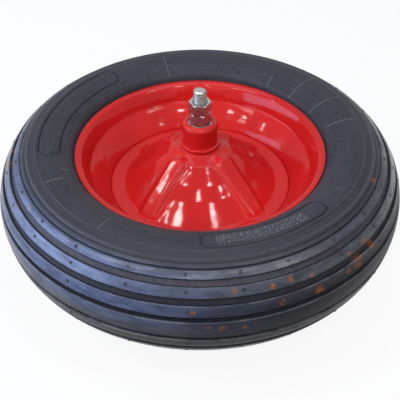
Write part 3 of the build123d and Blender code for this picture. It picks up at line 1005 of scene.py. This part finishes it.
def vent_places(tyre):
    """Places of the vent marks on both shoulders: the last row and the ridge's row take turns."""
    before = {VENT_TURNS[0] - VENT_STEP * step for step in range(1, VENTS_BEFORE + 1)}
    places = []
    for number, round_turn in enumerate(sorted(before.union(VENT_TURNS))):
        every_other = number % 2
        for side in (1, -1):
            for row, section_turn in enumerate(SHOULDER_TURNS):
                if row < 2 or not every_other:
                    places.append(tyre_place(tyre, side * section_turn, round_turn + row * VENT_ROW_STAGGER))
            if every_other:
                places.append(tyre_place(tyre, side * RIDGE_VENT_TURN, round_turn + RIDGE_VENT_STAGGER))
    return places


def stipple_places(tyre):
    """Places of the second panel's pips, in rows that are scattered a little."""
    middle, half_span = PANELS[1]
    scatter = np.random.default_rng(5)
    places = []
    for row in range(STIPPLE_ROWS):
        section_turn = PANEL_TOP + STIPPLE_START + row * STIPPLE_ROW_STEP
        first = middle - half_span + STIPPLE_START + row % 2 * STIPPLE_STEP / 2
        for round_turn in np.arange(first, middle + half_span - STIPPLE_END, STIPPLE_STEP):
            across = scatter.uniform(-STIPPLE_STRAY_ACROSS, STIPPLE_STRAY_ACROSS)
            along = scatter.uniform(-STIPPLE_STRAY_ALONG, STIPPLE_STRAY_ALONG)
            point, outward = tyre_place(tyre, section_turn + across, round_turn + along)
            places.append((point - outward * tyre.panel_depth, outward))
    return places


def build_side_marks(scene):
    """The tyre's vent marks, the side wall's pips and the second panel's stipple."""
    tyre = scene.wheel_tyre
    group = marks_tree()
    pips = [tyre_place(tyre, section_turn, round_turn) for round_turn, section_turn in SIDE_PIPS]
    # The vent marks and side pips are coloured dark as painted shade in their pits.
    dark = plain_finish("vent_rubber", tuple(tyre.painted_shade_rubber), 0.5)
    scuffed = plain_finish("scuffed_pips", tuple(tyre.flash_and_highlight), 0.5)
    vent = turned_mark("vent_mark", 12, VENT_SHAPE, tyre.vent_radius, dark)
    pip = turned_mark("pip", 6, PIP_SHAPE, STIPPLE_PIP, scuffed, SHARP_BEAD)
    marks = (
        ("vent_marks", vent_places(tyre), vent, 0.85, 1.2, dark, SHARP_EDGE),
        ("side_pips", pips, vent, 1.15, 1.6, dark, SHARP_EDGE),
        ("panel_stipple", stipple_places(tyre), pip, 0.4, 1.25, scuffed, SHARP_BEAD),
    )
    for name, places, mark, smallest, largest, material, sharp in marks:
        values = {"Mark": mark, "Smallest": smallest, "Largest": largest, "Material": material}
        piece = grown(name, point_mesh(name, places), group, values, sharp)
        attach(piece, "wheel")


def build_barrel(scene, paint):
    """The rim's rolled barrel, the same above and below the well's middle."""
    rim = scene.wheel_rim
    corners = [(rim.lip_radius - LIP_WIDTH, rim.lip_height, LIP_BEND), *BARREL_CORNERS]
    turning = [(radius, height) for radius, height, _ in corners]
    points = [(rim.lip_radius, rim.lip_height), *turning, (turning[-1][0], 0.0)]
    upper = bulged(rounded(points, [bend for _, _, bend in corners]), rim.band_bulge)
    whole = upper + [Vector((point.x, -point.y)) for point in reversed(upper[:-1])]
    outer = offset_path(whole, -rim.sheet)
    section = [tuple(point) for point in outer] + [tuple(point) for point in reversed(whole)]
    piece = lathe("rim_shell", even_angles(RIM_COLUMNS), lambda angle: section, paint)
    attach(piece, "wheel")
    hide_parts("rim_barrel")


def soft_low(a, b, soft):
    """Lower of two values, blended over a short stretch."""
    share = min(1.0, max(0.0, 0.5 + 0.5 * (b - a) / soft))
    return b + (a - b) * share - soft * share * (1 - share) * 0.5


def soft_top(a, b, soft):
    """Higher of two values, blended over a short stretch."""
    return -soft_low(-a, -b, soft)


def cone_lean(rim):
    """Angle between the cone's slope and the level."""
    return atan2(rim.cone_top_height - rim.cone_foot_height, rim.cone_foot_radius - rim.cone_top_radius)


def rib_lift(rim, point):
    """How far the pressed rib along +X lifts the sheet at a point of the disc."""
    lean = cone_lean(rim)
    slope = Vector((-cos(lean), 0, sin(lean)))
    outward = Vector((sin(lean), 0, cos(lean)))
    from_foot = point - Vector((rim.cone_foot_radius, 0, rim.cone_foot_height))
    along, across, above = from_foot.dot(slope), point.y, from_foot.dot(outward)
    total = (rim.cone_foot_radius - RIB_TIP) / cos(lean) + RIB_OVERRUN
    half = rim.rib_width / 2
    beyond = max(abs(along - (total / 2 - RIB_OVERRUN)) - (total / 2 - half), 0.0)
    inside = half + RIB_SHOULDER - hypot(beyond, across)
    top = soft_low(rim.rib_rise, inside, RIB_TOP_BEND)
    return soft_top(top - above, 0.0, RIB_FOOT_BEND)


def rib_columns(rim, radius):
    """Angles from a rib's middle at one radius: close together and in line with the rib, then even."""
    half = rim.rib_width / 2
    shrink = min(1.0, radius * sin(RIB_TURN_LIMIT) / (half + RIB_WALL_STEPS[-1] * mm))
    places = [step * mm for step in RIB_TOP_STEPS] + [half + step * mm for step in RIB_WALL_STEPS]
    beside = [asin(place * shrink / radius) for place in places]
    rest = 2 * pi / RIB_COUNT - 2 * beside[-1]
    between = [beside[-1] + rest * step / COLUMNS_BETWEEN_RIBS for step in range(1, COLUMNS_BETWEEN_RIBS)]
    return [-angle for angle in reversed(beside[1:])] + beside + between


def ring_waves(rim, path):
    """Path whose straight cone carries low rings, as pressed sheet does."""
    foot = Vector((rim.cone_foot_radius, rim.cone_foot_height))
    top = Vector((rim.cone_top_radius, rim.cone_top_height))
    along = (top - foot).normalized()
    outward = Vector((along.y, -along.x))
    places = np.arange(0.0, RING_PLACES[-1], RING_STEP)
    lifts = np.cumsum(np.interp(places, RING_PLACES, RING_LEANS)) * RING_STEP
    return [point + outward * np.interp((point - foot).dot(along), places, lifts) for point in path]


def disc_path(rim):
    """Upper side of the disc's sheet, from the flange in the well up to the neck at the hub."""
    edge = rim.lip_radius - DISC_INSET
    neck_radius, neck = hub_box[1].x + rim.sheet, disc_box[1].z
    points = [
        (edge, FLANGE_FOOT),
        (edge, LEDGE_HEIGHT),
        (rim.cone_foot_radius, rim.cone_foot_height),
        (rim.cone_top_radius, rim.cone_top_height),
        (neck_radius, neck - NECK_LENGTH),
        (neck_radius, neck),
    ]
    return ring_waves(rim, divided(rounded(points, DISC_BENDS, 5), DISC_ROW))


def build_discs(scene, paint):
    """The two pressed discs, each made of turned sheet that its ribs lift."""
    rim = scene.wheel_rim
    path = disc_path(rim)
    under = offset_path(path, -rim.sheet)
    last = len(path) - 1
    back = [index for index in range(len(path)) if index % UNDERSIDE_STEP == 0 or index == last][::-1]
    lean = cone_lean(rim)
    outward = Vector((sin(lean), 0, cos(lean)))
    columns, lifts = [], []
    for point in path:
        angles = rib_columns(rim, point.x)
        columns.append(angles)
        lifts.append([rib_lift(rim, Vector((point.x * cos(a), point.x * sin(a), point.y))) for a in angles])
    loop = [*zip(path, columns, lifts), *((under[i], columns[i], lifts[i]) for i in back)]
    for side, name in both_sides:
        vertices = []
        for rib in range(RIB_COUNT):
            turned = Matrix.Rotation(RIB_START + 2 * pi / RIB_COUNT * rib, 3, "Z")
            for column in range(len(columns[0])):
                for point, angles, lift in loop:
                    away = angles[column]
                    place = Vector((point.x * cos(away), point.x * sin(away), point.y))
                    place += outward * lift[column]
                    place.rotate(turned)
                    vertices.append((place.x, place.y, side * place.z))
        faces = ring_faces(RIB_COUNT * len(columns[0]), len(loop), flip=side < 0)
        piece = new_piece(f"dish_{name}", vertices, faces, paint)
        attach(piece, "wheel")
        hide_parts(f"disc_{name}")


def weld_tree():
    """Geometry tree that lays overlapping lumps along a ring."""
    inputs = (
        ("Ring radius", "NodeSocketFloat", 16.8 * mm),
        ("Lump radius", "NodeSocketFloat", 2.1 * mm),
        ("Lumps", "NodeSocketInt", 46),
        ("Height", "NodeSocketFloat", 50.0 * mm),
    )
    tree = Growth("Weld bead", inputs)
    ring = tree.node(
        "GeometryNodeCurvePrimitiveCircle",
        {"mode": "RADIUS"},
        radius=tree.given("Ring radius"),
        resolution=tree.given("Lumps"),
    )
    lump = tree.node("GeometryNodeMeshIcoSphere", {}, radius=tree.given("Lump radius"), subdivisions=2)
    least, most = (0.8, 0.8, 0.6), (1.15, 1.1, 0.95)
    sizes = tree.node("FunctionNodeRandomValue", {"data_type": "FLOAT_VECTOR"}, least, most, seed=9)
    placed = tree.node("GeometryNodeInstanceOnPoints", {}, points=ring, instance=lump, scale=sizes)
    lift = tree.node("ShaderNodeCombineXYZ", {}, z=tree.given("Height"))
    return tree.finish(
        tree.node("GeometryNodeTranslateInstances", {}, placed, translation=lift, local_space=False)
    )


def build_hub(scene, paint):
    """The hub tube with its rolled ends, and the weld beads round it."""
    outer, top = hub_box[1].x, hub_box[1].z
    inner, bend_foot = outer - HUB_BEND, top - HUB_BEND
    first_drop, last_drop, count = HUB_LEVELS
    levels = np.linspace(bend_foot - first_drop, bend_foot - last_drop, count)
    straight = [(outer, height) for height in levels]
    turns = np.radians(np.arange(0, 91, 15))
    bend = [(inner + HUB_BEND * cos(a), bend_foot + HUB_BEND * sin(a)) for a in turns]
    mouth = [
        (HUB_MOUTH + HUB_CHAMFER, top), (HUB_MOUTH, top - HUB_CHAMFER), (HUB_MOUTH, top - HUB_LIP),
        (SEAT_RADIUS, top - HUB_LIP), (SEAT_RADIUS, top - SEAT_DEPTH), (HUB_BORE, top - SEAT_DEPTH),
    ]
    half = straight + bend + mouth
    section = mirrored(half) + half
    piece = lathe("hub_sleeve", even_angles(HUB_COLUMNS), lambda angle: section, paint)
    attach(piece, "wheel")
    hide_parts("hub_tube")
    group = weld_tree()
    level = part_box("hub_weld_upper")[0].z
    for side, name in both_sides:
        values = {"Height": side * (level + WELD_UP), "Ring radius": outer + WELD_OUT, "Material": paint}
        bead = grown(f"weld_bead_{name}", bpy.data.meshes.new("weld"), group, values, SHARP_BEAD)
        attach(bead, "wheel")
        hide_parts(f"hub_weld_{name}")


def hexagon_reach(half_flats, angle):
    """Distance from a hexagon's middle to its side, with the corners a little rounded."""
    from_flat = (angle + pi / 6) % (pi / 3) - pi / 6
    return min(half_flats / cos(from_flat), half_flats / cos(pi / 6) - NUT_CORNER_CUT)


def nut_section(half_flats, face, low, top, angle):
    """Section of a nut between two levels, at one angle: bore, end faces, bevels and side."""
    bore = axle_box[1].x + NUT_CLEARANCE
    reach = hexagon_reach(half_flats, angle)
    bevel = max(reach - face, 0.0) * tan(NUT_BEVEL) + NUT_BEVEL_FOOT
    edge = min(face, reach)
    return [
        (bore, top - NUT_MOUTH), (bore, low + NUT_MOUTH), (bore + NUT_MOUTH, low),
        (edge - NUT_FACE_EDGE, low), (edge, low + NUT_FACE_STEP), (reach, low + bevel),
        (reach, top - bevel), (edge, top - NUT_FACE_STEP), (edge - NUT_FACE_EDGE, top),
        (bore + NUT_MOUTH, top),
    ]


def build_nuts(scene, zinc):
    """The inner and the outer nut at both ends."""
    axle = scene.wheel_axle
    half = axle.nut_flats / 2
    face = half + axle.face_margin
    turns = (radians(60.0 * flat + step) % (2 * pi) for flat in range(6) for step in NUT_COLUMNS)
    angles = sorted({round(angle, 6) for angle in turns})
    for name, (foot, head) in (("inner", inner_nut_box), ("outer", outer_nut_box)):
        for side, level in both_sides:

            def section(angle, low=foot.z, top=head.z, side=side):
                points = nut_section(half, face, low, top, angle)
                return points if side > 0 else mirrored(points)

            piece = lathe(f"{name}_hex_{level}", angles, section, zinc, SHARP_NUT)
            piece.data.transform(Matrix.Rotation(radians(NUT_TURNS[name]), 4, "Z"))
            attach(piece, "axle")
            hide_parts(f"{name}_nut_{level}")


def thread_tree():
    """Geometry tree that winds a rounded thread round a bar."""
    inputs = (
        ("Thread radius", "NodeSocketFloat", 5.5 * mm),
        ("Turns", "NodeSocketFloat", 10.0),
        ("Length", "NodeSocketFloat", 20.0 * mm),
        ("Tooth", "NodeSocketFloat", 0.6 * mm),
        ("Foot", "NodeSocketFloat", 80.0 * mm),
    )
    tree = Growth("Wound thread", inputs)
    spiral = tree.node(
        "GeometryNodeCurveSpiral",
        {},
        resolution=28,
        rotations=tree.given("Turns"),
        start_radius=tree.given("Thread radius"),
        end_radius=tree.given("Thread radius"),
        height=tree.given("Length"),
    )
    upright = tree.node("GeometryNodeSetCurveNormal", {"mode": "Z_UP"}, curve=spiral)
    circle = {"mode": "RADIUS"}
    tooth = tree.node("GeometryNodeCurvePrimitiveCircle", circle, radius=tree.given("Tooth"), resolution=6)
    wound = tree.node("GeometryNodeCurveToMesh", {}, curve=upright, profile_curve=tooth, fill_caps=True)
    lift = tree.node("ShaderNodeCombineXYZ", {}, z=tree.given("Foot"))
    return tree.finish(tree.node("GeometryNodeTransform", {}, geometry=wound, translation=lift))


def build_axle(scene, zinc):
    """The axle's bar and the thread that is wound round each end."""
    axle = scene.wheel_axle
    radius, top = axle_box[1].x, axle_box[1].z
    thread_foot = outer_nut_box[1].z - THREAD_START
    core = radius - axle.thread_depth
    half = [
        (radius, 0.0), (radius, thread_foot - THREAD_RUNOUT), (core, thread_foot),
        (core, top - AXLE_CHAMFER), (core - AXLE_CHAMFER, top), (CENTRE_MARK, top),
    ]
    section = mirrored(half) + half[1:]
    bar = lathe("axle_bar", even_angles(AXLE_COLUMNS), lambda angle: section, zinc)
    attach(bar, "axle")
    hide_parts("axle")
    group = thread_tree()
    run = top - thread_foot - axle.tooth_radius * TOOTH_END_GAP
    for side, name in both_sides:
        values = {
            "Thread radius": radius - axle.tooth_radius,
            "Turns": run / axle.thread_pitch,
            "Length": run * side,
            "Tooth": axle.tooth_radius,
            "Foot": side * (thread_foot + axle.tooth_radius),
            "Material": zinc,
        }
        thread = grown(f"thread_{name}", bpy.data.meshes.new("thread"), group, values, SHARP_THREAD)
        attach(thread, "axle")


def paint_nodes(names, material):
    """Gives frame nodes a finish of their own."""
    for name in names:
        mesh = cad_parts[name].data
        mesh.materials.clear()
        mesh.materials.append(material)


def build_camera(scene):
    """Camera in front of the wheel and above it."""
    stage = scene.wheel_stage
    camera_data = bpy.data.cameras.new("Camera")
    camera_data.lens = stage.focal_length
    camera_data.sensor_width = SENSOR_WIDTH
    camera = bpy.data.objects.new("Camera", camera_data)
    back = stage.camera_distance * cos(stage.camera_elevation)
    camera.location = (0, -back, stage.camera_distance * sin(stage.camera_elevation))
    camera.rotation_euler = (pi / 2 - stage.camera_elevation - stage.camera_drop, 0, 0)
    scene.collection.objects.link(camera)
    scene.camera = camera


def build_lamps(scene):
    """Lamps that all face the wheel's centre: name, direction, width, height, power and tint."""
    stage = scene.wheel_stage
    near, front, left = stage.near_lamps, stage.front_lamps, stage.left_lamps
    warm, cool, plain, blue = (1.0, 0.97, 0.92), (0.95, 0.96, 1.0), (1.0, 1.0, 1.0), (0.50, 0.66, 1.0)
    lamps = (
        ("lamp_left", (-0.405, -0.411, 0.817), 0.15, 0.11, near, warm),
        ("lamp_right", (0.27, -0.468, 0.841), 0.15, 0.11, near, cool),
        ("lamp_middle", (-0.051, -0.67, 0.741), 0.13, 0.10, front, plain),
        ("lamp_far_right", (0.586, -0.463, 0.665), 0.13, 0.10, front, plain),
        ("lamp_back_left", (-0.567, -0.317, 0.76), 0.09, 0.10, left, warm),
        ("lamp_far_left", (-0.756, -0.078, 0.65), 0.09, 0.10, left, warm),
        ("window", (-0.93, -0.24, 0.24), 1.9, 0.8, stage.window_power, blue),
        ("ceiling", (0.0, -0.17, 0.98), 2.0, 0.10, stage.ceiling_power, plain),
        ("back", (0.0, 0.30, 0.95), 1.1, 0.5, stage.back_power, blue),
        ("front", (0.0, -0.83, 0.55), 1.6, 0.04, stage.front_power, plain),
    )
    for name, direction, width, height, watts, tint in lamps:
        data = bpy.data.lights.new(name, "AREA")
        data.shape = "RECTANGLE"
        data.size, data.size_y = width, height
        data.energy = watts
        data.color = tint
        lamp = bpy.data.objects.new(name, data)
        lamp.location = Vector(direction) * LAMP_DISTANCE
        lamp.rotation_euler = (-Vector(direction)).to_track_quat("-Z", "Y").to_euler()
        scene.collection.objects.link(lamp)


def build_sky(scene):
    """World that looks white and gives little light."""
    world = bpy.data.worlds.new("Studio")
    scene.world = world
    world.use_nodes = True
    sky = Tree(world.node_tree)
    light = sky.node("ShaderNodeBackground", {}, strength=scene.wheel_stage.sky_light)
    white = sky.node("ShaderNodeBackground", {}, strength=1.0)
    shown = sky.node("ShaderNodeMixShader", {}, sky.seen_by_eye(), light, white)
    sky.node("ShaderNodeOutputWorld", {}, shown)


def build_floor(scene):
    """White floor below the axle's end, which throws back less light than it shows."""
    stage = scene.wheel_stage
    finish = Finish("white_floor")
    seen = finish.seen_by_eye()
    shade = finish.mix(seen, stage.floor_grey, stage.floor_white)
    material = finish.apply(glow=seen * 0.9, base_color=shade, roughness=0.9)
    level = axle_box[0].z - FLOOR_GAP
    corners = [(x * FLOOR_REACH, y * FLOOR_REACH, level) for x, y in ((-1, -1), (1, -1), (1, 1), (-1, 1))]
    floor = new_piece("floor", corners, [(0, 1, 2, 3)], material)


class WheelOperator:
    """What the operators of this file share."""

    bl_options = {"REGISTER", "UNDO"}

    def finish(self, name, maker):
        """The named finish, made the first time that it is asked for."""
        return bpy.data.materials.get(name) or maker(bpy.context.scene)


class WHEEL_OT_tyre(WheelOperator, bpy.types.Operator):
    """Build the ribbed tyre"""

    bl_idname = "wheel.tyre"
    bl_label = "Tyre"

    def execute(self, context):
        build_tyre(context.scene, self.finish("moulded_rubber", rubber_finish))
        return {"FINISHED"}


class WHEEL_OT_side_marks(WheelOperator, bpy.types.Operator):
    """Set the vent marks, pips and stipple on the tyre"""

    bl_idname = "wheel.side_marks"
    bl_label = "Tyre marks"

    def execute(self, context):
        build_side_marks(context.scene)
        return {"FINISHED"}


class WHEEL_OT_barrel(WheelOperator, bpy.types.Operator):
    """Build the rolled rim barrel"""

    bl_idname = "wheel.barrel"
    bl_label = "Rim barrel"

    def execute(self, context):
        build_barrel(context.scene, self.finish("red_paint", paint_finish))
        return {"FINISHED"}


class WHEEL_OT_discs(WheelOperator, bpy.types.Operator):
    """Build the two pressed and ribbed discs"""

    bl_idname = "wheel.discs"
    bl_label = "Discs"

    def execute(self, context):
        build_discs(context.scene, self.finish("red_paint", paint_finish))
        return {"FINISHED"}


class WHEEL_OT_hub(WheelOperator, bpy.types.Operator):
    """Build the hub tube and its weld beads"""

    bl_idname = "wheel.hub"
    bl_label = "Hub"

    def execute(self, context):
        build_hub(context.scene, self.finish("red_paint", paint_finish))
        return {"FINISHED"}


class WHEEL_OT_axle(WheelOperator, bpy.types.Operator):
    """Build the threaded axle and its nuts"""

    bl_idname = "wheel.axle"
    bl_label = "Axle and nuts"

    def execute(self, context):
        zinc = self.finish("worn_zinc", zinc_finish)
        build_axle(context.scene, zinc)
        build_nuts(context.scene, zinc)
        return {"FINISHED"}


class WHEEL_OT_inner_pieces(WheelOperator, bpy.types.Operator):
    """Finish the bearings, washers, valve and inner tube"""

    bl_idname = "wheel.inner_pieces"
    bl_label = "Bearings and valve"

    def execute(self, context):
        both = [name for _, name in both_sides]
        zinc = self.finish("worn_zinc", zinc_finish)
        steel = steel_finish("bearing_steel", (0.55, 0.54, 0.52), 0.25)
        brass = steel_finish("valve_brass", (0.7, 0.55, 0.3), 0.3)
        races = ("inner_race", "outer_race", "bearing_balls", "ball_cage", "bearing_shields")
        paint_nodes(["spacer_tube", *(f"race_washer_{side}" for side in both)], zinc)
        paint_nodes([f"{name}_{side}" for name in races for side in both], steel)
        paint_nodes(["valve_stem", "valve_core", "valve_nut"], brass)
        paint_nodes(["valve_cap"], plain_finish("cap_plastic", (0.02, 0.02, 0.022), 0.45))
        paint_nodes(["inner_tube"], plain_finish("tube_rubber", (0.02, 0.02, 0.022), 0.6))
        return {"FINISHED"}


class WHEEL_OT_stage(WheelOperator, bpy.types.Operator):
    """Set the camera, lamps, sky and floor"""

    bl_idname = "wheel.stage"
    bl_label = "Stage"

    def execute(self, context):
        scene = context.scene
        build_camera(scene)
        build_lamps(scene)
        build_sky(scene)
        build_floor(scene)
        scene.view_settings.view_transform = "Standard"
        return {"FINISHED"}


steps = (
    WHEEL_OT_tyre, WHEEL_OT_side_marks, WHEEL_OT_barrel, WHEEL_OT_discs, WHEEL_OT_hub, WHEEL_OT_axle,
    WHEEL_OT_inner_pieces, WHEEL_OT_stage,
)


class WHEEL_PT_builder(bpy.types.Panel):
    """Lists the steps that build the wheel"""

    bl_label = "Wheelbarrow wheel"
    bl_idname = "WHEEL_PT_builder"
    bl_space_type = "VIEW_3D"
    bl_region_type = "UI"
    bl_category = "Wheel"

    def draw(self, context):
        for step in steps:
            self.layout.operator(step.bl_idname)


groups = {
    "wheel_tyre": WheelTyreSizes,
    "wheel_rim": WheelRimSizes,
    "wheel_axle": WheelAxleSizes,
    "wheel_stage": WheelStageSettings,
}


def register():
    for item in (*groups.values(), *steps, WHEEL_PT_builder):
        bpy.utils.register_class(item)
    for name, group in groups.items():
        setattr(bpy.types.Scene, name, PointerProperty(type=group))


def unregister():
    for name in groups:
        delattr(bpy.types.Scene, name)
    for item in reversed((*groups.values(), *steps, WHEEL_PT_builder)):
        bpy.utils.unregister_class(item)


def main():
    register()
    for step in steps:
        family, name = step.bl_idname.split(".")
        getattr(getattr(bpy.ops, family), name)()
    bpy.context.view_layer.update()


if __name__ == "__main__":
    main()
